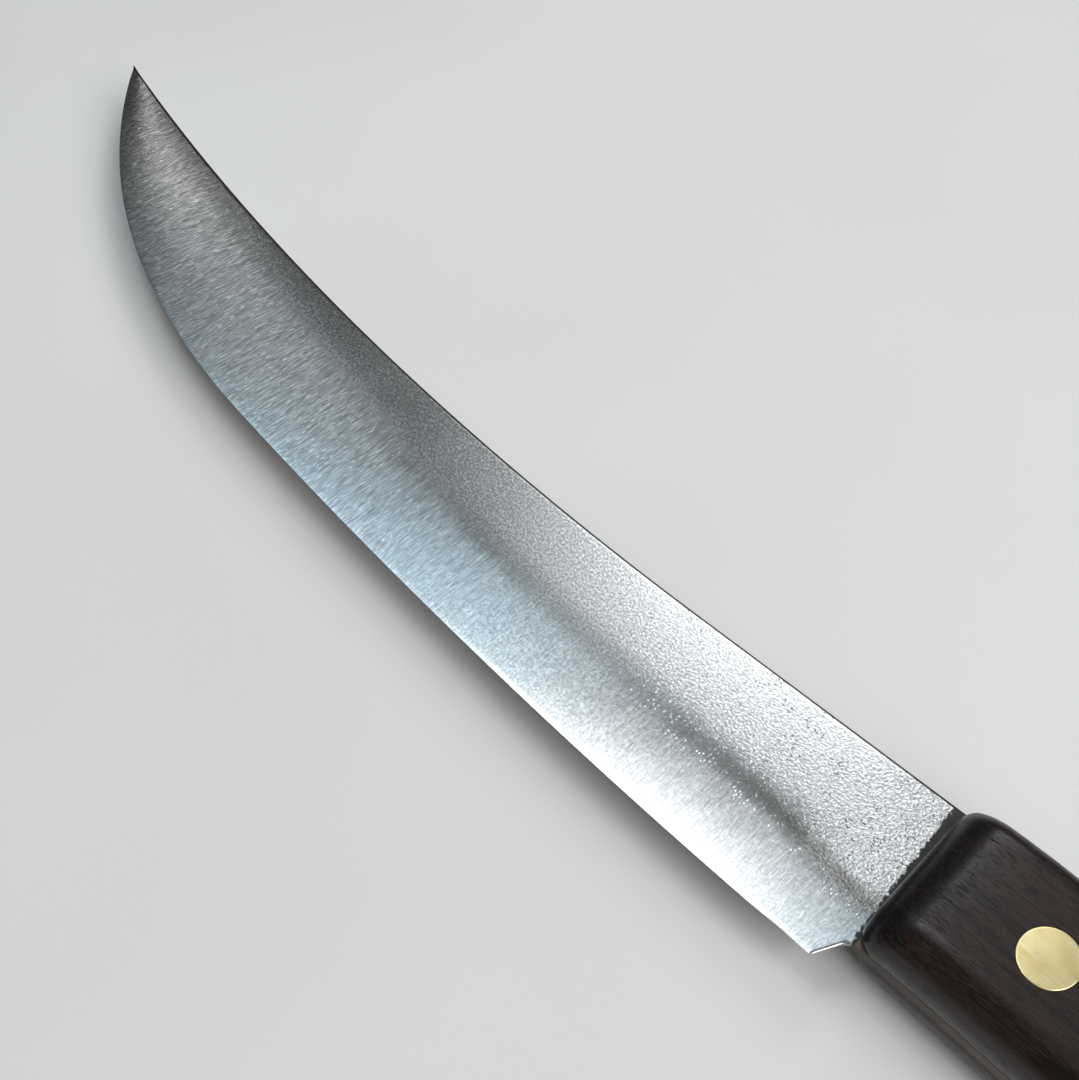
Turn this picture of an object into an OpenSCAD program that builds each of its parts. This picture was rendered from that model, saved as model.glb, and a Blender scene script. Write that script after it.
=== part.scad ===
// A butcher's knife lying on its side: a broad, upswept blade that is one piece with its full tang,
// a hardwood scale on each face of the tang, and three two-part cutler's rivets through all three.
// X runs along the blade to the tip, Y across it to the cutting edge, and Z is up, through the thickness.
// The outlines are drawn from the point where the spine meets the front of the handle, then the whole
// knife is moved so that the origin is under the middle of its box, on the surface that it lies on.

/* [Blade] */
// Length of the blade, from the front of the handle to the tip
blade_len = 204; // [196:1:212]
// Depth of the heel below the straight part of the spine
heel_depth = 28.5; // [28:0.25:30]
// Height of the tip above the straight part of the spine
tip_rise = 22; // [18:1:26]
// Length of the straight part of the spine, in front of the handle
spine_straight = 45; // [30:1:60]
// Radius of the long, nearly straight part of the cutting edge
edge_radius = 1030; // [900:10:1200]
// Radius where the cutting edge begins to sweep up
sweep_radius = 150; // [130:5:170]
// Radius at the bottom of the notch between the heel and the handle
choil_radius = 1.6; // [1.2:0.1:2]
// Thickness of the steel at the handle
steel_thick = 2.4; // [2:0.1:3]
// Thickness of the spine at the tip
tip_thick = 1; // [0.8:0.1:1.4]

/* [Handle] */
// Length of the handle
handle_len = 122; // [116:1:130]
// Depth of the handle at its front
handle_depth = 23.8; // [22:0.2:24]
// Thickness of each scale at its thickest
scale_thick = 7.6; // [6.5:0.1:9]
// How much thinner each scale is at its front
front_relief = 0.8; // [0:0.1:1.5]
// How far the spine side dips in the middle of the handle
back_dip = 1.8; // [0:0.1:3]
// How far the belly side swells under the palm
palm_swell = 1.6; // [0:0.1:2]
// How far the belly side flares at the butt
butt_flare = 4; // [0:0.1:4]

/* [Rivets] */
// Diameter of the rivet heads
head_d = 8; // [7:0.5:10]
// Thickness of the rivet heads
head_thick = 1.8; // [1.4:0.1:2.4]
// Outer diameter of the sleeve
sleeve_d = 5; // [4.5:0.1:6]
// Diameter of the stud that is driven into the sleeve
stud_d = 3.2; // [2.8:0.1:3.6]
// Distance of the first and last rivets from the ends of the handle
rivet_inset = 19.5; // [17:0.5:24]

/* [Hidden] */
$fn = 64;

steel_colour = [0.62, 0.64, 0.66];
wood_colour = [0.17, 0.12, 0.11];
brass_colour = [0.86, 0.78, 0.52];

knife_thick = steel_thick + 2 * scale_thick;
tang_bottom = scale_thick;
tang_top = scale_thick + steel_thick;

// The spine: a straight, then one arc up to the tip.
sweep_run = blade_len - spine_straight;
spine_radius = (sweep_run * sweep_run + tip_rise * tip_rise) / (2 * tip_rise);

// The cutting edge: three arcs, each tangent to the one before. The last is the one that meets the tip.
heel = [3.2, heel_depth];
heel_heading = -0.9;
edge_turn = 6.8;
sweep_turn = 13.5;
tip_width = 0.4;
tip = [blade_len, tip_width - tip_rise];
edge_centre = arc_centre(heel, heel_heading, edge_radius);
edge_end = arc_point(edge_centre, heel_heading - edge_turn, edge_radius);
sweep_heading = heel_heading - edge_turn;
sweep_centre = arc_centre(edge_end, sweep_heading, sweep_radius);
sweep_end = arc_point(sweep_centre, sweep_heading - sweep_turn, sweep_radius);
tip_heading = sweep_heading - sweep_turn;
tip_chord = tip - sweep_end;
tip_turn = 2 * (tip_heading - atan2(tip_chord.y, tip_chord.x));
tip_radius = norm(tip_chord) / (2 * sin(tip_turn / 2));
tip_centre = arc_centre(sweep_end, tip_heading, tip_radius);

// The ground section, in shares of the way from spine to edge and of the thickness of the spine. The steel
// is flat next to the spine and ground down to the edge below that. The flat narrows towards the tip.
grind_shares = [0, 0.014, 0.28, 0.42, 0.52, 0.62, 0.75, 0.88, 1];
eased_spine = 0.76;
flat_at_heel = 0.43;
flat_narrowing = 0.45;
flat_len = 160;
turn_share = 0.37;
edge_share = 0.1;
grind_slope = (1 - edge_share) / (1 - turn_share / 2);

// Rounding of the handle: in plan at its four corners, and where its faces meet its edges.
inset_at_front = 0.4;
front_corner = [1.8, 3];
butt_corner = [10, 8];
face_round = [3, 6];
front_round = 0.8 * (scale_thick - front_relief);
front_round_len = 6.5;
relief_len = 14;
butt_round = 5;
butt_round_len = 10;

// The notch is a round bottom, flush with the belly of the handle, and a straight side that leans out
// to the heel.
choil_lean = 30;
choil_bottom = inset_at_front + handle_depth - 0.1;
choil = [-0.4, choil_bottom + choil_radius];
choil_cut = [5, 8];
tang_front = choil.x + 0.2;

// The rivets: each stud stops just short of the floor of its sleeve, and each sleeve ends in the left scale.
hole_d = sleeve_d + 0.1;
seat_d = head_d + 0.06;
stud_clearance = 0.03;
sleeve_end = tang_top + 3;
sleeve_floor = head_thick + 1.2;
stud_end = sleeve_floor + 0.3;

rivet_x = [-rivet_inset, -handle_len / 2, rivet_inset - handle_len];
rivet_at = [for (x = rivet_x) [x, (back_y(x) + belly_y(x)) / 2]];

// Evenly spread values from 0 to 1.
function spread(count) = [for (i = [0 : count]) i / count];

// Headings are in degrees, and every arc turns towards the spine side.
function arc_centre(start, heading, radius) = start + radius * [sin(heading), -cos(heading)];
function arc_point(centre, heading, radius) = centre + radius * [-sin(heading), cos(heading)];
function arc_y(x, centre, radius) = centre.y + sqrt(radius * radius - pow(x - centre.x, 2));

function spine_y(x) = x < spine_straight ? 0 : arc_y(x, [spine_straight, -spine_radius], spine_radius);
function edge_y(x) =
    x < edge_end.x ? arc_y(x, edge_centre, edge_radius) :
    x < sweep_end.x ? arc_y(x, sweep_centre, sweep_radius) :
    arc_y(x, tip_centre, tip_radius);

// The sides of the handle, with u running from 0 at its front to 1 at its butt.
function back_y(x) = let (u = -x / handle_len) inset_at_front + back_dip * pow(sin(180 * u), 2);
function belly_y(x) =
    let (
        u = -x / handle_len,
        swell = pow(sin(180 * min(u / 0.75, 1)), 2),
        flare = pow(max(u - 0.5, 0) / 0.5, 2)
    )
    inset_at_front + handle_depth + palm_swell * swell + butt_flare * flare;
function face_z(x) = scale_thick - front_relief * pow(max(1 + x / relief_len, 0), 2);

// How much a quarter round of radius r takes off at a distance d from the end of the handle.
function round_off(d, r) = d < r ? r - sqrt(r * r - (r - d) * (r - d)) : 0;
function stretched_round_off(d, r, len) = r * round_off(d / len, 1);

// Thickness left by the grind, as a share of the thickness at the spine.
function ground(x, share) =
    let (
        flat = flat_at_heel - flat_narrowing * pow(max(x, 0) / flat_len, 2),
        way = (share - flat) / (1 - flat)
    )
    way < 0 ? 1 :
    way < turn_share ? 1 - grind_slope * way * way / (2 * turn_share) :
    1 - grind_slope * (way - turn_share / 2);

// One closed section of the blade at x, in the YZ plane, centred on the middle of the steel.
function blade_ring(x) =
    let (
        half = (steel_thick + (tip_thick - steel_thick) * max(x, 0) / blade_len) / 2,
        depth = edge_y(x) - spine_y(x),
        side = [
            for (share = grind_shares)
                let (ease = share > 0 ? 1 : eased_spine)
                [spine_y(x) + share * depth, half * ground(x, share) * ease]
        ],
        last = len(side) - 1
    )
    concat(
        [for (p = side) [x, p[0], p[1]]],
        [for (i = [last : -1 : 0]) [x, side[i][0], -side[i][1]]]
    );

// One closed section of a scale at x: flat against the tang at z = 0, flat outside, and rounded between.
function scale_ring(x) =
    let (
        front = -x,
        butt = x + handle_len,
        low = back_y(x) + round_off(front, front_corner[0]) + round_off(butt, butt_corner[0]),
        high = belly_y(x) - round_off(front, front_corner[1]) - round_off(butt, butt_corner[1]),
        front_off = stretched_round_off(front, front_round, front_round_len),
        butt_off = stretched_round_off(butt, butt_round, butt_round_len),
        top = face_z(x) - front_off - butt_off,
        low_z = min(face_round[0], 0.8 * top),
        high_z = min(face_round[1], 0.8 * top)
    )
    concat(
        [[x, low, 0]],
        [for (a = [0 : 15 : 90]) [x, low + face_round[0] * (1 - cos(a)), top - low_z * (1 - sin(a))]],
        [for (a = [90 : -10 : 0]) [x, high - face_round[1] * (1 - cos(a)), top - high_z * (1 - sin(a))]],
        [[x, high, 0]]
    );

// Stations along the blade close up towards the tip, and those along the handle towards both its ends.
blade_stations = [for (t = spread(48)) choil.x + (blade_len - choil.x) * (1 - pow(1 - t, 1.6))];
front_zone = max(front_corner[1], front_round_len);
butt_zone = max(butt_corner);
handle_body = handle_len - front_zone - butt_zone;
handle_stations = concat(
    [for (a = [0 : 10 : 90]) -front_zone * (1 - cos(a))],
    [for (t = spread(30)) if (t > 0 && t < 1) -front_zone - t * handle_body],
    [for (a = [90 : -10 : 0]) -handle_len + butt_zone * (1 - cos(a))]
);

// The box of the whole knife, in plan.
box_low = [-handle_len, -tip_rise];
belly_high = max([for (x = handle_stations) belly_y(x)]);
box_high = [blade_len, max(belly_high, heel_depth)];
box_middle = (box_low + box_high) / 2;

// A closed skin over a row of sections that all have the same number of points.
module loft(rings) {
    size = len(rings[0]);
    last = len(rings) - 1;
    sides = [
        for (i = [0 : last - 1], j = [0 : size - 1])
            let (a = i * size + j, b = i * size + (j + 1) % size)
            each [[a, b, b + size], [a, b + size, a + size]]
    ];
    start_cap = [[for (j = [size - 1 : -1 : 0]) j]];
    end_cap = [[for (j = [0 : size - 1]) last * size + j]];
    polyhedron([for (ring = rings) each ring], concat(sides, start_cap, end_cap));
}

module on_the_surface() {
    translate([-box_middle.x, -box_middle.y, 0]) children();
}

module at_rivet(index) {
    translate([rivet_at[index].x, rivet_at[index].y, 0]) children();
}

// The tang fills the handle's outline. Its front edge is hidden between the scales, where the blade laps it.
module tang() {
    rings = [for (x = handle_stations) if (x < -front_corner[1]) scale_ring(x)];
    last = len(rings) - 1;
    back = [for (ring = rings) [ring[0].x, ring[0].y]];
    belly = [for (i = [last : -1 : 0]) let (end = rings[i][len(rings[i]) - 1]) [end.x, end.y]];
    front = [[tang_front, belly_y(0)], [tang_front, 0], [choil.x, 0]];
    translate([0, 0, tang_bottom]) linear_extrude(steel_thick) polygon(concat(back, belly, front));
}

module choil_notch() {
    cylinder(h = knife_thick, r = choil_radius);
    rotate([0, 0, -choil_lean])
        translate([-choil_cut.x, 0, 0])
            cube([choil_cut.x + choil_radius, choil_cut.y, knife_thick]);
}

module blade() {
    color(steel_colour)
        on_the_surface()
            difference() {
                union() {
                    translate([0, 0, tang_bottom + steel_thick / 2])
                        loft([for (x = blade_stations) blade_ring(x)]);
                    tang();
                }
                translate([choil.x, choil.y, 0]) choil_notch();
                for (i = [0 : len(rivet_at) - 1])
                    at_rivet(i) cylinder(h = knife_thick, d = hole_d);
            }
}

// One scale with its flat inner face at z = 0 and its outer face up, drilled and counterbored for the rivets.
module scale_blank() {
    difference() {
        loft([for (x = handle_stations) scale_ring(x)]);
        for (i = [0 : len(rivet_at) - 1])
            at_rivet(i) {
                translate([0, 0, -1]) cylinder(h = scale_thick, d = hole_d);
                translate([0, 0, scale_thick - head_thick]) cylinder(h = head_thick + 1, d = seat_d);
            }
    }
}

module left_scale() {
    color(wood_colour) on_the_surface() translate([0, 0, tang_top]) scale_blank();
}

module right_scale() {
    color(wood_colour) on_the_surface() translate([0, 0, tang_bottom]) mirror([0, 0, 1]) scale_blank();
}

// The half with the solid stem, whose head shows on the left side.
module rivet_stud(index) {
    color(brass_colour)
        on_the_surface()
            at_rivet(index) {
                translate([0, 0, knife_thick - head_thick]) cylinder(h = head_thick, d = head_d);
                translate([0, 0, stud_end]) cylinder(h = knife_thick - head_thick - stud_end, d = stud_d);
            }
}

// The half with the hollow stem, whose head shows on the right side.
module rivet_sleeve(index) {
    color(brass_colour)
        on_the_surface()
            at_rivet(index)
                difference() {
                    union() {
                        cylinder(h = head_thick, d = head_d);
                        cylinder(h = sleeve_end, d = sleeve_d);
                    }
                    translate([0, 0, sleeve_floor]) cylinder(h = sleeve_end, d = stud_d + 2 * stud_clearance);
                }
}

blade();
left_scale();
right_scale();
rivet_stud(0);  // front_rivet_stud
rivet_sleeve(0);  // front_rivet_sleeve
rivet_stud(1);  // middle_rivet_stud
rivet_sleeve(1);  // middle_rivet_sleeve
rivet_stud(2);  // rear_rivet_stud
rivet_sleeve(2);  // rear_rivet_sleeve
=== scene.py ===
"""The looks of the butcher's knife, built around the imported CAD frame.

The outlines follow the same curves as the CAD model. They are worked out in millimetres, from the point
where the spine meets the front of the handle: x to the tip, y to the cutting edge, z up from the middle
of the steel. row() turns such a point into the frame's metres.
"""

import math

import bmesh
import bpy
from mathutils import Euler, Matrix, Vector


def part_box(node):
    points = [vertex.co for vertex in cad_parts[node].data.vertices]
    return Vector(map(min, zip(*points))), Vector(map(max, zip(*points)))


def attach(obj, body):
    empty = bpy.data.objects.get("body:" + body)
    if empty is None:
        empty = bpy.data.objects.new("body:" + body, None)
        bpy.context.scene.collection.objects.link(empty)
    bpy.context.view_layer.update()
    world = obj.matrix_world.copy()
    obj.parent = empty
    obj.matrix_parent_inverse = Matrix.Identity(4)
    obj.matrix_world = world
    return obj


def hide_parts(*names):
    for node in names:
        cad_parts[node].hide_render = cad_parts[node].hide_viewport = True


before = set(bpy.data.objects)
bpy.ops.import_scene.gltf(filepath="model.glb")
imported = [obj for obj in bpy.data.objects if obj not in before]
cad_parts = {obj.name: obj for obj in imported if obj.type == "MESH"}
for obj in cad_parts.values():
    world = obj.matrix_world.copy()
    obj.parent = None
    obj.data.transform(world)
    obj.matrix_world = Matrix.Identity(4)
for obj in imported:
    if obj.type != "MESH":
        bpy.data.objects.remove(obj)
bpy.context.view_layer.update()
MM = 0.001

# ---------------------------------------------------------------- dimensions, in millimetres


def box_of(node):
    """The two corners of a CAD node's box, in millimetres of the frame."""
    return [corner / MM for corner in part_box(node)]


BLADE_BOX = box_of("blade")
SCALE_BOX = box_of("left_scale")
STUD_BOX = box_of("front_rivet_stud")
SLEEVE_BOX = box_of("front_rivet_sleeve")

# The blade.
BLADE_LEN = BLADE_BOX[1].x - SCALE_BOX[1].x
STEEL_THICK = BLADE_BOX[1].z - BLADE_BOX[0].z
TIP_RISE = 22.0
HEEL_DEPTH = BLADE_BOX[1].y - BLADE_BOX[0].y - TIP_RISE
TIP_THICK = 1.0
TIP_WIDTH = 0.4
SPINE_STRAIGHT = 45.0
EDGE_RADIUS = 1030.0
SWEEP_RADIUS = 150.0
HEEL_X = 3.2
HEEL_HEADING = -0.9
EDGE_TURN = 6.8
SWEEP_TURN = 13.5
CHOIL_RADIUS = 1.6
CHOIL_LEAN = 30.0

# The ground section, in shares of the way from spine to edge and of the thickness at the spine.
FLAT_AT_HEEL = 0.43
FLAT_NARROWING = 0.45
FLAT_LEN = 160.0
TURN_SHARE = 0.37
EDGE_SHARE = 0.06
GRIND_SLOPE = (1 - EDGE_SHARE) / (1 - TURN_SHARE / 2)
TIP_BEND = 1.8
TIP_BEND_RANGE = (130, 182)

# The handle.
HANDLE_LEN = SCALE_BOX[1].x - SCALE_BOX[0].x
SCALE_THICK = SCALE_BOX[1].z - SCALE_BOX[0].z
HANDLE_DEPTH = 23.8
INSET_AT_FRONT = 0.4
BACK_DIP = 1.8
PALM_SWELL = 1.6
BUTT_FLARE = 4.0
FRONT_RELIEF = 0.8
RELIEF_LEN = 14.0
FRONT_CORNER = (1.8, 3.0)
BUTT_CORNER = (10.0, 8.0)
FACE_ROUND = (3.0, 6.0)
FRONT_ROUND = 0.8 * (SCALE_THICK - FRONT_RELIEF)
FRONT_ROUND_LEN = 6.5
BUTT_ROUND = 5.0
BUTT_ROUND_LEN = 10.0

# The rivets.
HEAD_D = STUD_BOX[1].x - STUD_BOX[0].x
HEAD_THICK = 1.8
SLEEVE_D = 5.0
STUD_D = 3.2
RIVET_INSET = SCALE_BOX[1].x - (STUD_BOX[0].x + STUD_BOX[1].x) / 2

# Places that follow from these.
START = Vector((SCALE_BOX[1].x, BLADE_BOX[0].y + TIP_RISE, (BLADE_BOX[0].z + BLADE_BOX[1].z) / 2))
CHOIL = (-0.4, INSET_AT_FRONT + HANDLE_DEPTH - 0.1 + CHOIL_RADIUS)
TANG_FRONT = CHOIL[0] + 0.2
FACE_Z = STEEL_THICK / 2 + SCALE_THICK


def row(x, y, z):
    """A point of the knife, in millimetres, as a point of the frame, in metres."""
    return (Vector((x, y, z)) + START) * MM


# ---------------------------------------------------------------- curves


def arc_centre(start, heading, radius):
    angle = math.radians(heading)
    return (start[0] + radius * math.sin(angle), start[1] - radius * math.cos(angle))


def arc_point(centre, heading, radius):
    angle = math.radians(heading)
    return (centre[0] - radius * math.sin(angle), centre[1] + radius * math.cos(angle))


def arc_y(x, centre, radius):
    return centre[1] + math.sqrt(max(radius**2 - (x - centre[0]) ** 2, 0))


def edge_arcs():
    """The three tangent arcs of the cutting edge, each as its last x, its centre and its radius."""
    long_centre = arc_centre((HEEL_X, HEEL_DEPTH), HEEL_HEADING, EDGE_RADIUS)
    heading = HEEL_HEADING - EDGE_TURN
    long_end = arc_point(long_centre, heading, EDGE_RADIUS)
    sweep_centre = arc_centre(long_end, heading, SWEEP_RADIUS)
    heading -= SWEEP_TURN
    sweep_end = arc_point(sweep_centre, heading, SWEEP_RADIUS)
    chord = Vector((BLADE_LEN - sweep_end[0], TIP_WIDTH - TIP_RISE - sweep_end[1]))
    turn = 2 * (math.radians(heading) - math.atan2(chord.y, chord.x))
    tip_radius = chord.length / (2 * math.sin(turn / 2))
    tip_centre = arc_centre(sweep_end, heading, tip_radius)
    return (
        (long_end[0], long_centre, EDGE_RADIUS),
        (sweep_end[0], sweep_centre, SWEEP_RADIUS),
        (math.inf, tip_centre, tip_radius),
    )


EDGE_ARCS = edge_arcs()
SPINE_RADIUS = ((BLADE_LEN - SPINE_STRAIGHT) ** 2 + TIP_RISE**2) / (2 * TIP_RISE)


def spine_y(x):
    if x < SPINE_STRAIGHT:
        return 0.0
    return arc_y(x, (SPINE_STRAIGHT, -SPINE_RADIUS), SPINE_RADIUS)


def edge_y(x):
    for last_x, centre, radius in EDGE_ARCS:
        if x < last_x:
            return arc_y(x, centre, radius)


def back_y(x):
    """The spine side of the handle."""
    return INSET_AT_FRONT + BACK_DIP * math.sin(math.pi * -x / HANDLE_LEN) ** 2


def belly_y(x):
    """The belly side of the handle."""
    way = -x / HANDLE_LEN
    swell = math.sin(math.pi * min(way / 0.75, 1)) ** 2
    flare = (max(way - 0.5, 0) / 0.5) ** 2
    return INSET_AT_FRONT + HANDLE_DEPTH + PALM_SWELL * swell + BUTT_FLARE * flare


def round_off(distance, radius):
    """How much a quarter round takes off at a distance from where it ends."""
    if distance >= radius:
        return 0.0
    return radius - math.sqrt(max(radius**2 - (radius - distance) ** 2, 0))


def handle_side(x, side):
    """The handle's outline with its rounded corners, on its spine side (0) or its belly side (1)."""
    corners = round_off(-x, FRONT_CORNER[side]) + round_off(x + HANDLE_LEN, BUTT_CORNER[side])
    return back_y(x) + corners if side == 0 else belly_y(x) - corners


def smooth(value, low, high):
    """A smooth step from 0 at low to 1 at high."""
    way = min(max((value - low) / (high - low), 0), 1)
    return way * way * (3 - 2 * way)


def flat_share(x):
    """How much of the way from spine to edge is flat."""
    return FLAT_AT_HEEL - FLAT_NARROWING * (max(x, 0) / FLAT_LEN) ** 2


def ground(x, share):
    """Thickness that the grind leaves, as a share of the full one. The section is convex at the tip."""
    way = (share - flat_share(x)) / (1 - flat_share(x))
    left = 1 - GRIND_SLOPE * (way - TURN_SHARE / 2)
    if way < TURN_SHARE:
        left = 1 - GRIND_SLOPE * max(way, 0) ** 2 / (2 * TURN_SHARE)
    bent = 1 - (1 - EDGE_SHARE) * share**TIP_BEND
    return left + smooth(x, *TIP_BEND_RANGE) * (bent - left)


# ---------------------------------------------------------------- mesh helpers


def new_object(name, mesh_data, smooth_faces=True):
    mesh = bpy.data.meshes.new(name)
    mesh_data.to_mesh(mesh)
    mesh_data.free()
    for face in mesh.polygons:
        face.use_smooth = smooth_faces
    piece = bpy.data.objects.new(name, mesh)
    bpy.context.scene.collection.objects.link(piece)
    return piece


def skin(mesh, loops):
    """Faces between each loop of vertices and the next. A loop of one vertex is the point of a cone."""
    for here, there in zip(loops, loops[1:]):
        size = max(len(here), len(there))
        for i in range(size):
            j = (i + 1) % size
            corners = [here[i % len(here)], here[j % len(here)], there[j % len(there)], there[i % len(there)]]
            corners = list(dict.fromkeys(corners))
            if len(corners) > 2:
                mesh.faces.new(corners)


def loft(rings):
    """A closed solid over a row of sections that all have the same number of points."""
    mesh = bmesh.new()
    loops = [[mesh.verts.new(row(*point)) for point in ring] for ring in rings]
    skin(mesh, loops)
    mesh.faces.new(list(reversed(loops[0])))
    mesh.faces.new(loops[-1])
    bmesh.ops.recalc_face_normals(mesh, faces=mesh.faces)
    return mesh


def lathe(profile, centre, segments=96):
    """A solid of revolution. The profile is a list of (radius, z) that starts and ends on the axis."""
    mesh = bmesh.new()
    loops = []
    for radius, z in profile:
        angles = [2 * math.pi * i / segments for i in range(segments if radius > 0 else 1)]
        loops.append([
            mesh.verts.new(row(centre[0] + radius * math.cos(a), centre[1] + radius * math.sin(a), z))
            for a in angles
        ])
    skin(mesh, loops)
    bmesh.ops.recalc_face_normals(mesh, faces=mesh.faces)
    return mesh


def joined(shapes):
    """Several shapes as one."""
    whole = bmesh.new()
    for shape in shapes:
        part = bpy.data.meshes.new("part")
        shape.to_mesh(part)
        shape.free()
        whole.from_mesh(part)
        bpy.data.meshes.remove(part)
    return whole


def cut(piece, mesh_data):
    """Takes the shape away from the piece."""
    cutter = new_object("cutter", mesh_data, False)
    step = piece.modifiers.new("cut", "BOOLEAN")
    step.object = cutter
    step.solver = "EXACT"
    depsgraph = bpy.context.evaluated_depsgraph_get()
    result = bpy.data.meshes.new_from_object(piece.evaluated_get(depsgraph))
    piece.modifiers.clear()
    old = piece.data
    piece.data = result
    result.name = old.name
    bpy.data.meshes.remove(old)
    bpy.data.objects.remove(cutter)


def sharpen(piece, angle):
    """Keeps every edge sharp that turns by more than the angle, in degrees."""
    mesh = bmesh.new()
    mesh.from_mesh(piece.data)
    for edge in mesh.edges:
        if len(edge.link_faces) == 2 and edge.calc_face_angle(0) > math.radians(angle):
            edge.smooth = False
    mesh.to_mesh(piece.data)
    mesh.free()


# ---------------------------------------------------------------- rivets

RIVET_X = {
    "front": -RIVET_INSET,
    "middle": -HANDLE_LEN / 2,
    "rear": RIVET_INSET - HANDLE_LEN,
}
RIVETS = {name: (x, (back_y(x) + belly_y(x)) / 2) for name, x in RIVET_X.items()}
HOLE_R = SLEEVE_D / 2 + 0.05
SEAT_R = HEAD_D / 2 + 0.06
BORE_R = STUD_D / 2 + 0.03
HEAD_EASE = 0.1
STEM_EASE = 0.3
SLEEVE_END = SLEEVE_BOX[1].z - SLEEVE_BOX[0].z - FACE_Z
SLEEVE_FLOOR = HEAD_THICK + 1.2 - FACE_Z
STUD_END = SLEEVE_FLOOR + 0.3


def head_profile(side):
    """A rivet head from its middle outwards. side is 1 for a head on the left face and -1 on the right."""
    rim = HEAD_D / 2
    steps = ((2.5, 0), (1.0, 0.15), (0.3, 0.45), (0, 1.1))
    eased = [(rim - inwards * HEAD_EASE, side * (FACE_Z - down * HEAD_EASE)) for inwards, down in steps]
    return [(0, side * FACE_Z)] + eased + [(rim, side * (FACE_Z - HEAD_THICK))]


def make_stud(name, centre):
    """The solid half, whose head shows on the left side."""
    stem = [
        (STUD_D / 2, FACE_Z - HEAD_THICK),
        (STUD_D / 2, STUD_END + STEM_EASE),
        (STUD_D / 2 - STEM_EASE, STUD_END),
        (0, STUD_END),
    ]
    piece = new_object(name, lathe(head_profile(1) + stem, centre))
    sharpen(piece, 30)
    return piece


def make_sleeve(name, centre):
    """The hollow half, whose head shows on the right side."""
    tube = [
        (SLEEVE_D / 2, HEAD_THICK - FACE_Z),
        (SLEEVE_D / 2, SLEEVE_END),
        (BORE_R, SLEEVE_END),
        (BORE_R, SLEEVE_FLOOR),
        (0, SLEEVE_FLOOR),
    ]
    piece = new_object(name, lathe(head_profile(-1) + tube, centre))
    sharpen(piece, 30)
    return piece


# ---------------------------------------------------------------- blade and tang

ACROSS = 56
SPINE_EASE = 0.42
SPINE_STEPS = 5
MICRO_BEVEL = 0.35
EDGE_HALF = 0.03
RIM_EASE = 0.08
WORN_DIP = 0.12
WORN_AT = 8.0
WORN_REACH = 3.0
MAP_SCALE = 4
TANG_LEAD = -3.2
HEEL_STEPS = 24
LONG_STEPS = 300
TIP_CROWDING = 1.4


def low_y(x):
    """The lower border of the blade: the choil, and the cutting edge, a little worn near the heel."""
    lean = math.radians(CHOIL_LEAN)
    foot_x = CHOIL[0] + CHOIL_RADIUS * math.cos(lean)
    foot_y = CHOIL[1] - CHOIL_RADIUS * math.sin(lean)
    if x < foot_x:
        return CHOIL[1] - math.sqrt(CHOIL_RADIUS**2 - (x - CHOIL[0]) ** 2)
    worn = WORN_DIP * math.exp(-(((x - WORN_AT) / WORN_REACH) ** 2))
    return min(foot_y + (x - foot_x) / math.tan(lean), edge_y(x) - worn)


def blade_section(x):
    """(y, half thickness) across the blade at x, from the spine to its lower border."""
    top, low, edge = spine_y(x), low_y(x), edge_y(x)
    half = (STEEL_THICK + (TIP_THICK - STEEL_THICK) * max(x, 0) / BLADE_LEN) / 2
    ease = min(SPINE_EASE, (low - top) / 4, half * 0.8)
    rim = min(MICRO_BEVEL, (low - top) / 4)
    section = []
    for i in range(SPINE_STEPS + 1):
        angle = math.pi / 2 * i / SPINE_STEPS
        y = top + ease * (1 - math.cos(angle))
        section.append((y, half * ground(x, 0) - ease * (1 - math.sin(angle))))
    for i in range(1, ACROSS + 1):
        y = top + ease + (low - rim - top - ease) * i / ACROSS
        section.append((y, half * ground(x, (y - top) / (edge - top))))
    if edge - low < 0.3:
        return section + [(low, EDGE_HALF)]
    return section + [(low, half * ground(x, (low - top) / (edge - top)) - RIM_EASE)]


def tang_section(x):
    """(y, half thickness) across the tang at x, with as many points as across the blade."""
    to_blade = smooth(x, TANG_LEAD, CHOIL[0])
    top = (1 - to_blade) * handle_side(min(x, -FRONT_CORNER[0]), 0)
    low = handle_side(x, 1) if x < -FRONT_CORNER[1] else belly_y(x)
    half = STEEL_THICK / 2
    section = []
    for i in range(SPINE_STEPS + 1):
        angle = math.pi / 2 * i / SPINE_STEPS
        section.append((top + RIM_EASE * (1 - math.cos(angle)), half - RIM_EASE * (1 - math.sin(angle))))
    for i in range(1, ACROSS + 1):
        section.append((top + RIM_EASE + (low - top - 2 * RIM_EASE) * i / ACROSS, half))
    return section + [(low, half - RIM_EASE)]


def handle_stations(per_body, per_end):
    """x of the sections along the handle, from its butt to its front, close together at both ends."""
    front, butt = max(FRONT_CORNER[1], FRONT_ROUND_LEN), max(BUTT_CORNER)
    ends = [1 - math.cos(math.pi / 2 * i / per_end) for i in range(per_end + 1)]
    body = HANDLE_LEN - front - butt
    stations = [butt * end - HANDLE_LEN for end in ends]
    stations += [butt - HANDLE_LEN + body * i / per_body for i in range(1, per_body)]
    return stations + [-front * end for end in reversed(ends)]


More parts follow.
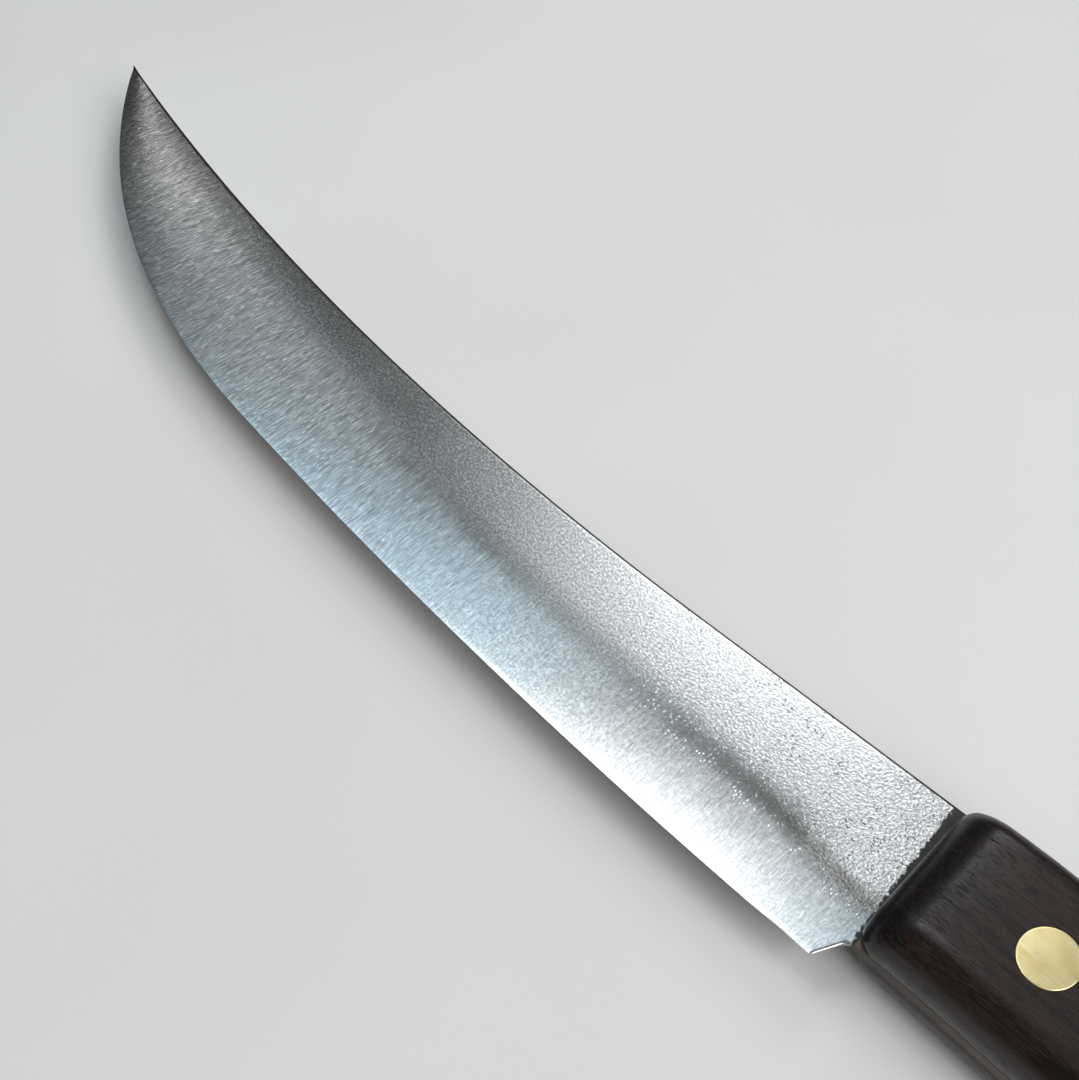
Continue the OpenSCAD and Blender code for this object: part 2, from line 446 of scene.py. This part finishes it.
def map_blade(piece):
    """Stores where each point lies across the blade, and a map that runs along it."""
    past_turn = piece.data.attributes.new("past_turn", "FLOAT", "POINT").data
    from_spine = piece.data.attributes.new("from_spine", "FLOAT", "POINT").data
    for vertex in piece.data.vertices:
        place = vertex.co / MM - START
        depth = place.y - spine_y(place.x)
        share = depth / max(edge_y(max(place.x, 0)) - spine_y(place.x), 0.1)
        past_turn[vertex.index].value = share - flat_share(place.x) - TURN_SHARE / 3
        from_spine[vertex.index].value = depth
    along = piece.data.uv_layers.new(name="along_blade")
    for loop in piece.data.loops:
        point = piece.data.vertices[loop.vertex_index].co
        along.data[loop.index].uv = (point.x * MAP_SCALE, point.y * MAP_SCALE)


def make_blade():
    places = [(x, tang_section(x)) for x in handle_stations(90, 18) if x < CHOIL[0] - 0.05]
    places += [(CHOIL[0], tang_section(CHOIL[0])), (TANG_FRONT, blade_section(TANG_FRONT))]
    for i in range(1, HEEL_STEPS + 1):
        x = TANG_FRONT + (HEEL_X - TANG_FRONT) * i / HEEL_STEPS
        places.append((x, blade_section(x)))
    for i in range(1, LONG_STEPS + 1):
        x = HEEL_X + (BLADE_LEN - HEEL_X) * (1 - (1 - i / LONG_STEPS) ** TIP_CROWDING)
        places.append((x, blade_section(x)))
    rings = []
    for x, section in places:
        rings.append([(x, y, half) for y, half in section] + [(x, y, -half) for y, half in reversed(section)])
    piece = new_object("knife_blade", loft(rings))
    hole = [(0, -STEEL_THICK), (HOLE_R, -STEEL_THICK), (HOLE_R, STEEL_THICK), (0, STEEL_THICK)]
    cut(piece, joined([lathe(hole, centre) for centre in RIVETS.values()]))
    sharpen(piece, 35)
    map_blade(piece)
    return piece


# ---------------------------------------------------------------- scales

SCALE_EASE = 0.15
BACK_STEPS = 12
FLAT_STEPS = 12
BELLY_STEPS = 20


def scale_section(x):
    """One closed section of a scale at x, as (y, height above the tang)."""
    front, butt = -x, x + HANDLE_LEN
    low, high = handle_side(x, 0), handle_side(x, 1)
    top = SCALE_THICK - FRONT_RELIEF * max(1 - front / RELIEF_LEN, 0) ** 2
    top -= FRONT_ROUND * round_off(front / FRONT_ROUND_LEN, 1)
    top -= BUTT_ROUND * round_off(butt / BUTT_ROUND_LEN, 1)
    low_z, high_z = min(FACE_ROUND[0], 0.8 * top), min(FACE_ROUND[1], 0.8 * top)
    section = [(low + SCALE_EASE, 0), (low + 0.3 * SCALE_EASE, 0.3 * SCALE_EASE), (low, SCALE_EASE)]
    for i in range(BACK_STEPS + 1):
        angle = math.pi / 2 * i / BACK_STEPS
        section.append((low + FACE_ROUND[0] * (1 - math.cos(angle)), top - low_z * (1 - math.sin(angle))))
    for i in range(1, FLAT_STEPS):
        section.append((low + FACE_ROUND[0] + (high - low - sum(FACE_ROUND)) * i / FLAT_STEPS, top))
    for i in range(BELLY_STEPS + 1):
        angle = math.pi / 2 * (1 - i / BELLY_STEPS)
        section.append((high - FACE_ROUND[1] * (1 - math.cos(angle)), top - high_z * (1 - math.sin(angle))))
    return section + [(high, SCALE_EASE), (high - 0.3 * SCALE_EASE, 0.3 * SCALE_EASE), (high - SCALE_EASE, 0)]


def make_scale(name, side):
    """One scale. side is 1 for the left one, above the tang, and -1 for the right one, below it."""
    rings = []
    for x in handle_stations(140, 24):
        rings.append([(x, y, side * (STEEL_THICK / 2 + height)) for y, height in scale_section(x)])
    piece = new_object(name, loft(rings))
    seat = FACE_Z - HEAD_THICK
    drill = [(0, 0), (HOLE_R, 0), (HOLE_R, seat), (SEAT_R, seat), (SEAT_R, FACE_Z + 1), (0, FACE_Z + 1)]
    drill = [(radius, side * z) for radius, z in drill]
    cut(piece, joined([lathe(drill, centre) for centre in RIVETS.values()]))
    sharpen(piece, 40)
    return piece


# ---------------------------------------------------------------- materials


class Graph:
    """A material's nodes, with a short way to add each kind and to join it to the others."""

    def __init__(self, name):
        self.material = bpy.data.materials.new(name)
        self.material.use_nodes = True
        self.tree = self.material.node_tree
        self.tree.nodes.clear()
        self.shader = self.add("ShaderNodeBsdfPrincipled")
        output = self.add("ShaderNodeOutputMaterial")
        self.tree.links.new(self.shader.outputs[0], output.inputs["Surface"])

    def add(self, kind, **settings):
        made = self.tree.nodes.new(kind)
        for key, value in settings.items():
            setattr(made, key, value)
        return made

    def put(self, target, value):
        """Gives an input its value, which is a plain one or another node's output."""
        if hasattr(value, "links"):
            self.tree.links.new(value, target)
        else:
            target.default_value = value

    def set(self, **values):
        """Gives the shader's inputs their values, by name, with _ for each space."""
        for key, value in values.items():
            self.put(self.shader.inputs[key.replace("_", " ")], value)

    def math(self, operation, first, second=0.0):
        made = self.add("ShaderNodeMath", operation=operation)
        self.put(made.inputs[0], first)
        self.put(made.inputs[1], second)
        return made.outputs[0]

    def plus(self, *values):
        total = values[0]
        for value in values[1:]:
            total = self.math("ADD", total, value)
        return total

    def times(self, *values):
        product = values[0]
        for value in values[1:]:
            product = self.math("MULTIPLY", product, value)
        return product

    def minus(self, first, second):
        return self.math("SUBTRACT", first, second)

    def larger(self, first, second):
        return self.math("MAXIMUM", first, second)

    def size(self, value):
        return self.math("ABSOLUTE", value)

    def step(self, value, start, end, before=0.0, after=1.0):
        """A smooth step in the value, from before at start to after at end."""
        made = self.add("ShaderNodeMapRange", interpolation_type="SMOOTHSTEP")
        for index, number in enumerate((value, start, end, before, after)):
            self.put(made.inputs[index], number)
        return made.outputs[0]

    def mix(self, share, first, second):
        """A colour between two colours. Each is a node's output, or its red, green and blue."""
        made = self.add("ShaderNodeMix", data_type="RGBA")
        self.put(made.inputs["Factor"], share)
        for key, colour in (("A", first), ("B", second)):
            self.put(made.inputs[key], (*colour, 1.0) if isinstance(colour, tuple) else colour)
        return [output for output in made.outputs if output.type == "RGBA"][0]

    def moved(self, where, move=(0.0, 0.0, 0.0), turn=0.0, scale=(1.0, 1.0, 1.0)):
        made = self.add("ShaderNodeMapping")
        self.put(made.inputs["Vector"], where)
        made.inputs["Location"].default_value = move
        made.inputs["Rotation"].default_value = (0, 0, math.radians(turn))
        made.inputs["Scale"].default_value = scale
        return made.outputs[0]

    def places(self):
        """Places on the knife in millimetres, as in the rest of this file."""
        where = self.add("ShaderNodeTexCoord").outputs["Object"]
        return self.moved(where, move=-START, scale=(1 / MM, 1 / MM, 1 / MM))

    def split(self, where):
        made = self.add("ShaderNodeSeparateXYZ")
        self.put(made.inputs[0], where)
        return made.outputs[:3]

    def grain(self, stretch, where=None, turn=0.0, move=(0.0, 0.0, 0.0), detail=2.0, roughness=0.5):
        """Noise from 0 to 1 whose features are about stretch millimetres long in x, y and z."""
        turned = self.moved(where or self.places(), turn=turn)
        made = self.add("ShaderNodeTexNoise")
        scale = [1 / length for length in stretch]
        self.put(made.inputs["Vector"], self.moved(turned, move=move, scale=scale))
        made.inputs["Scale"].default_value = 1.0
        made.inputs["Detail"].default_value = detail
        made.inputs["Roughness"].default_value = roughness
        return made.outputs["Fac"]

    def cells(self, stretch, turn=0.0):
        """Distance to the middle of the nearest cell, in cells, and that cell's own random number."""
        turned = self.moved(self.places(), turn=turn)
        made = self.add("ShaderNodeTexVoronoi")
        self.put(made.inputs["Vector"], self.moved(turned, scale=[1 / length for length in stretch]))
        made.inputs["Scale"].default_value = 1.0
        return made.outputs["Distance"], made.outputs["Color"]

    def stored(self, name):
        return self.add("ShaderNodeAttribute", attribute_name=name).outputs["Fac"]

    def bump(self, height, depth, below=None):
        """A relief in which a height of 1 stands depth millimetres high, on top of the one below."""
        made = self.add("ShaderNodeBump")
        made.inputs["Strength"].default_value = 1.0
        made.inputs["Distance"].default_value = depth * MM
        self.put(made.inputs["Height"], height)
        if below is not None:
            self.put(made.inputs["Normal"], below)
        return made.outputs[0]


def leaning_places(g):
    """Places for marks across the blade, which lean towards the handle more and more up to the tip."""
    x, y, z = g.split(g.places())
    made = g.add("ShaderNodeCombineXYZ")
    lean = g.times(g.step(x, 50.0, 190.0, 0.07, 0.25), y)
    for index, value in enumerate((g.minus(x, lean), y, z)):
        g.put(made.inputs[index], value)
    return made.outputs[0]


def steel_scratches(g):
    """Grinding scratches across the blade, from 0 to 1, and short bright flecks among them."""
    across = leaning_places(g)
    fine = g.grain((0.17, 2.6, 3.0), across, detail=3, roughness=0.7)
    coarse = g.grain((0.32, 4.5, 7.0), across, turn=-1.5, move=(5, 9, 2), detail=3, roughness=0.7)
    crossing = g.grain((0.22, 3.0, 4.0), across, turn=-9, move=(1, 4, 7), detail=2, roughness=0.6)
    scratches = g.plus(g.times(fine, 0.45), g.times(coarse, 0.35), g.times(crossing, 0.2))
    flecks = g.step(g.grain((0.22, 1.3, 2.0), across, turn=1, move=(3, 2, 8), detail=1), 0.6, 0.7)
    return scratches, flecks


def steel_pits(g, x, past_turn):
    """Rust pits in the flat near the handle, and raised spots along its border with the grind."""
    from_pit, _ = g.cells((0.55, 0.48, 5.0), turn=20)
    crowd = g.step(g.grain((2.6, 2.2, 3.0), detail=2), 0.46, 0.62)
    on_flat = g.times(g.step(x, 80.0, 12.0), g.step(past_turn, 0.04, -0.12))
    pits = g.times(g.step(from_pit, 0.36, 0.1), crowd, on_flat)
    from_spot, spot_number = g.cells((0.62, 0.58, 9.0), turn=35)
    border = g.times(g.step(past_turn, 0.15, 0.0), g.step(past_turn, -0.25, -0.05), g.step(x, 60.0, 20.0))
    spots = g.times(g.step(from_spot, 0.3, 0.14), g.step(spot_number, 0.46, 0.5), border)
    return pits, spots


def steel_dirt_and_painted_reflections(g, colour, x, y, past_turn):
    """The colour with painted dark reflection in a brown strip at the turn of the grind and on the eased
    spine, with dirt at the handle, and where that dirt is."""
    # Painted dark reflection: a brown strip darkens the colour where the grind begins to turn near the heel.
    painted_dark_band = g.times(g.step(g.size(g.minus(past_turn, 0.01)), 0.1, 0.0), g.step(x, 52.0, 5.0, 0.0, 0.8))
    colour = g.mix(painted_dark_band, colour, (0.15, 0.135, 0.11))
    # Painted dark reflection: the eased spine corner is coloured near black.
    colour = g.mix(g.step(g.stored("from_spine"), 0.52, 0.38), colour, (0.03, 0.027, 0.025))
    smear = g.times(g.minus(g.grain((0.6, 0.6, 0.6), detail=3), 0.5), 1.6)
    dirt = g.step(g.plus(x, g.times(y, 0.06), smear), 1.82, 1.48)
    return g.mix(g.times(dirt, 0.95), colour, (0.035, 0.032, 0.025)), dirt


def tang_patina(g, z):
    """The tang is dark with age, and worn bare along its corners."""
    clouds = g.step(g.grain((14.0, 8.0, 8.0), detail=3), 0.35, 0.65)
    patina = g.mix(clouds, (0.03, 0.022, 0.018), (0.07, 0.05, 0.038))
    return g.mix(g.step(g.size(z), 1.1, 1.18, 0.0, 0.6), patina, (0.2, 0.15, 0.11))


def steel_material():
    g = Graph("ground_steel")
    x, y, z = g.split(g.places())
    ragged = g.times(g.minus(g.grain((3.0, 2.0, 5.0), detail=4, roughness=0.65), 0.5), 0.1)
    past_turn = g.plus(g.stored("past_turn"), ragged, g.step(x, 3.0, 24.0, -0.08, 0.0))
    below_turn = g.step(past_turn, -0.06, 0.07)
    worked = g.times(below_turn, g.step(x, 55.0, 110.0, 0.35, 1.0))
    scratches, flecks = steel_scratches(g)
    pits, spots = steel_pits(g, x, past_turn)

    # The relief: scratches on the grind, orange peel on the flat next to the handle, pits and spots.
    peel = g.grain((0.46, 0.36, 1.0), detail=3, roughness=0.6)
    peel_height = g.plus(g.step(x, 60.0, 15.0, 0.16, 0.4), g.step(x, 18.0, 2.0, 0.0, 0.9))
    relief = g.bump(g.times(scratches, g.plus(g.times(worked, 0.9), 0.1)), 0.009)
    relief = g.bump(g.times(peel, peel_height, g.minus(1.0, below_turn)), 0.07, relief)
    relief = g.bump(g.minus(spots, pits), 0.03, relief)

    # Bare steel, streaked where it was ground and grainy where it was not.
    grains = g.step(g.grain((0.42, 0.36, 1.0), move=(4, 4, 4), detail=3, roughness=0.8), 0.4, 0.62)
    grains = g.times(grains, g.step(x, 20.0, 60.0, 0.5, 1.0))
    grainy = g.mix(grains, (0.42, 0.425, 0.43), (0.8, 0.81, 0.815))
    streaked = g.mix(g.step(scratches, 0.37, 0.63), (0.27, 0.275, 0.28), (0.8, 0.81, 0.815))
    colour = g.mix(worked, grainy, streaked)
    colour = g.mix(g.larger(g.times(flecks, worked), spots), colour, (0.93, 0.94, 0.94))
    colour = g.mix(g.times(pits, 0.85), colour, (0.05, 0.047, 0.043))
    colour, dirt = steel_dirt_and_painted_reflections(g, colour, x, y, past_turn)

    tang = g.step(x, -0.1, -0.3)
    colour = g.mix(tang, colour, tang_patina(g, z))
    dull = g.larger(dirt, tang)
    rough = g.plus(g.times(g.grain((5.0, 9.0, 5.0)), 0.06), g.times(dull, 0.3), 0.165)
    tangent = g.add("ShaderNodeTangent", direction_type="UV_MAP", uv_map="along_blade").outputs[0]
    g.set(Base_Color=colour, Roughness=rough, Metallic=g.minus(1.0, g.times(dull, 0.7)))
    g.set(Normal=relief, Anisotropic=0.5, Tangent=tangent)
    return g.material


def rosewood_material():
    g = Graph("dark_rosewood")
    x = g.split(g.places())[0]
    bands = g.grain((34.0, 1.5, 1.5), turn=2, detail=4, roughness=0.6)
    lines = g.grain((11.0, 0.3, 0.5), turn=2, move=(3, 1, 4), detail=3, roughness=0.6)
    fibres = g.grain((1.6, 0.12, 0.12), turn=2, move=(2, 7, 1), detail=2, roughness=0.6)
    pores = g.step(g.grain((2.4, 0.17, 0.17), turn=2, move=(8, 2, 6), detail=1), 0.6, 0.7)
    colour = g.mix(g.step(bands, 0.35, 0.68), (0.007, 0.0043, 0.004), (0.024, 0.0115, 0.0098))
    colour = g.mix(g.step(lines, 0.5, 0.74, 0.0, 0.4), colour, (0.055, 0.036, 0.032))
    colour = g.mix(pores, colour, (0.004, 0.003, 0.003))
    # Painted dark reflection: the colour is darkened towards the rounded front.
    colour = g.mix(g.step(x, -7.5, -3.0, 0.0, 0.7), colour, (0.004, 0.004, 0.004))
    relief = g.bump(g.minus(g.times(g.plus(lines, fibres), 0.25), pores), 0.035)
    relief = g.bump(g.grain((9.0, 4.0, 4.0), detail=2), 0.1, relief)
    rough = g.plus(g.times(fibres, 0.16), g.times(pores, 0.25), 0.2)
    g.set(Base_Color=colour, Roughness=rough, Normal=relief, IOR=1.5, Specular_IOR_Level=0.42)
    return g.material


def brass_material():
    g = Graph("satin_brass")
    lines = g.grain((5.0, 0.2, 5.0), turn=4, detail=3, roughness=0.6)
    clouds = g.grain((2.2, 2.2, 2.2), detail=3)
    colour = g.mix(g.step(clouds, 0.3, 0.7), (0.84, 0.68, 0.31), (0.92, 0.79, 0.43))
    colour = g.mix(g.step(lines, 0.52, 0.7, 0.0, 0.7), colour, (0.95, 0.88, 0.66))
    rough = g.plus(g.times(clouds, 0.14), 0.3)
    g.set(Base_Color=colour, Roughness=rough, Metallic=1.0, Normal=g.bump(lines, 0.02))
    return g.material


def floor_material():
    g = Graph("pale_floor")
    wide = g.step(g.grain((120.0, 120.0, 120.0)), 0.3, 0.7)
    colour = g.mix(wide, (0.74, 0.73, 0.715), (0.78, 0.775, 0.765))
    g.set(Base_Color=colour, Roughness=0.75, Normal=g.bump(g.grain((0.8, 0.8, 0.8), detail=4), 0.02))
    return g.material


# ---------------------------------------------------------------- camera, lights and floor

CAMERA_PLACE = (-32.74, 104.47, 200.46)
CAMERA_TURN = (35.686, 1.955, -136.113)
CAMERA_LENS = 55.67
CAMERA_SENSOR = 36.0

# Boxes of light that the blade mirrors to the camera, all at one height. Each has its reach in x and in y,
# in millimetres on the knife, its brightness and its tint.
CEILING = 600
WHITE = (0.96, 0.988, 1.0)
COOL = (0.92, 0.97, 1.0)
PALE_BLUE = (0.84, 0.95, 1.0)
SKY_BLUE = (0.62, 0.865, 1.0)
WARM = (1.0, 0.975, 0.93)
LIGHT_BOXES = {
    "spine_light": ((140, 345), (-800, -319), 4.2, WHITE),
    "spine_far_light": ((345, 480), (-520, -319), 1.0, WHITE),
    "flat_light": ((90, 400), (-319, -238), 0.85, COOL),
    "turn_light": ((90, 370), (-238, -170), 0.45, PALE_BLUE),
    "edge_light": ((140, 310), (-109, 80), 5.0, WHITE),
    "heel_light": ((40, 140), (-118, 80), 1.1, SKY_BLUE),
    "side_light": ((310, 620), (-172, 80), 1.2, SKY_BLUE),
    "middle_light": ((490, 680), (-285, -172), 0.5, PALE_BLUE),
    "far_light": ((680, 820), (-315, -245), 0.45, COOL),
    "tip_light": ((770, 890), (-335, -300), 2.8, WARM),
    "handle_light": ((-140, 80), (-345, -205), 0.95, WARM),
}
FILL_PLACE = (-0.9, 0.1, 0.9)
FILL_SIZE = 0.9
FILL_POWER = 15
SKY_TINT = (1.0, 0.97, 0.92, 1.0)
SKY_BRIGHTNESS = 0.06
FLOOR_HALF = 2.0


def make_camera():
    data = bpy.data.cameras.new("camera")
    data.lens = CAMERA_LENS
    data.sensor_width = CAMERA_SENSOR
    data.clip_start = 0.01
    camera = bpy.data.objects.new("camera", data)
    camera.location = row(*CAMERA_PLACE)
    camera.rotation_euler = Euler([math.radians(angle) for angle in CAMERA_TURN])
    bpy.context.scene.collection.objects.link(camera)
    bpy.context.scene.camera = camera


def area_light(name, place, width, height, power, tint):
    data = bpy.data.lights.new(name, "AREA")
    data.shape = "RECTANGLE"
    data.size = width
    data.size_y = height
    data.energy = power
    data.color = tint
    light = bpy.data.objects.new(name, data)
    light.location = place
    bpy.context.scene.collection.objects.link(light)
    return light


def make_lights():
    for name, (x_reach, y_reach, brightness, tint) in LIGHT_BOXES.items():
        width = (x_reach[1] - x_reach[0]) * MM
        height = (y_reach[1] - y_reach[0]) * MM
        place = row(sum(x_reach) / 2, sum(y_reach) / 2, CEILING)
        area_light(name, place, width, height, brightness * math.pi * width * height, tint)
    # A broad light from behind the camera, where the blade does not mirror it, keeps the floor pale.
    fill = area_light("fill_light", FILL_PLACE, FILL_SIZE, FILL_SIZE, FILL_POWER, (1.0, 1.0, 1.0))
    fill.rotation_euler = (-Vector(FILL_PLACE)).to_track_quat("-Z", "Y").to_euler()


def make_world():
    world = bpy.data.worlds.new("studio")
    world.use_nodes = True
    sky = world.node_tree.nodes["Background"]
    sky.inputs["Color"].default_value = SKY_TINT
    sky.inputs["Strength"].default_value = SKY_BRIGHTNESS
    bpy.context.scene.world = world
    bpy.context.scene.view_settings.view_transform = "Standard"


def make_floor():
    mesh = bmesh.new()
    corners = [(-1, -1), (1, -1), (1, 1), (-1, 1)]
    mesh.faces.new([mesh.verts.new((FLOOR_HALF * x, FLOOR_HALF * y, 0)) for x, y in corners])
    floor = new_object("floor", mesh, False)
    floor.data.materials.append(floor_material())


# ---------------------------------------------------------------- assembly


def finish_piece(piece, node, material):
    """Gives the piece its material and puts it in the place of its CAD node."""
    piece.data.materials.clear()
    piece.data.materials.append(material)
    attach(piece, "root")
    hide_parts(node)


def make_knife():
    rosewood = rosewood_material()
    brass = brass_material()
    finish_piece(make_blade(), "blade", steel_material())
    finish_piece(make_scale("handle_left", 1), "left_scale", rosewood)
    finish_piece(make_scale("handle_right", -1), "right_scale", rosewood)
    for name, centre in RIVETS.items():
        finish_piece(make_stud(name + "_stud", centre), name + "_rivet_stud", brass)
        finish_piece(make_sleeve(name + "_sleeve", centre), name + "_rivet_sleeve", brass)


make_camera()
make_lights()
make_world()
make_floor()
make_knife()
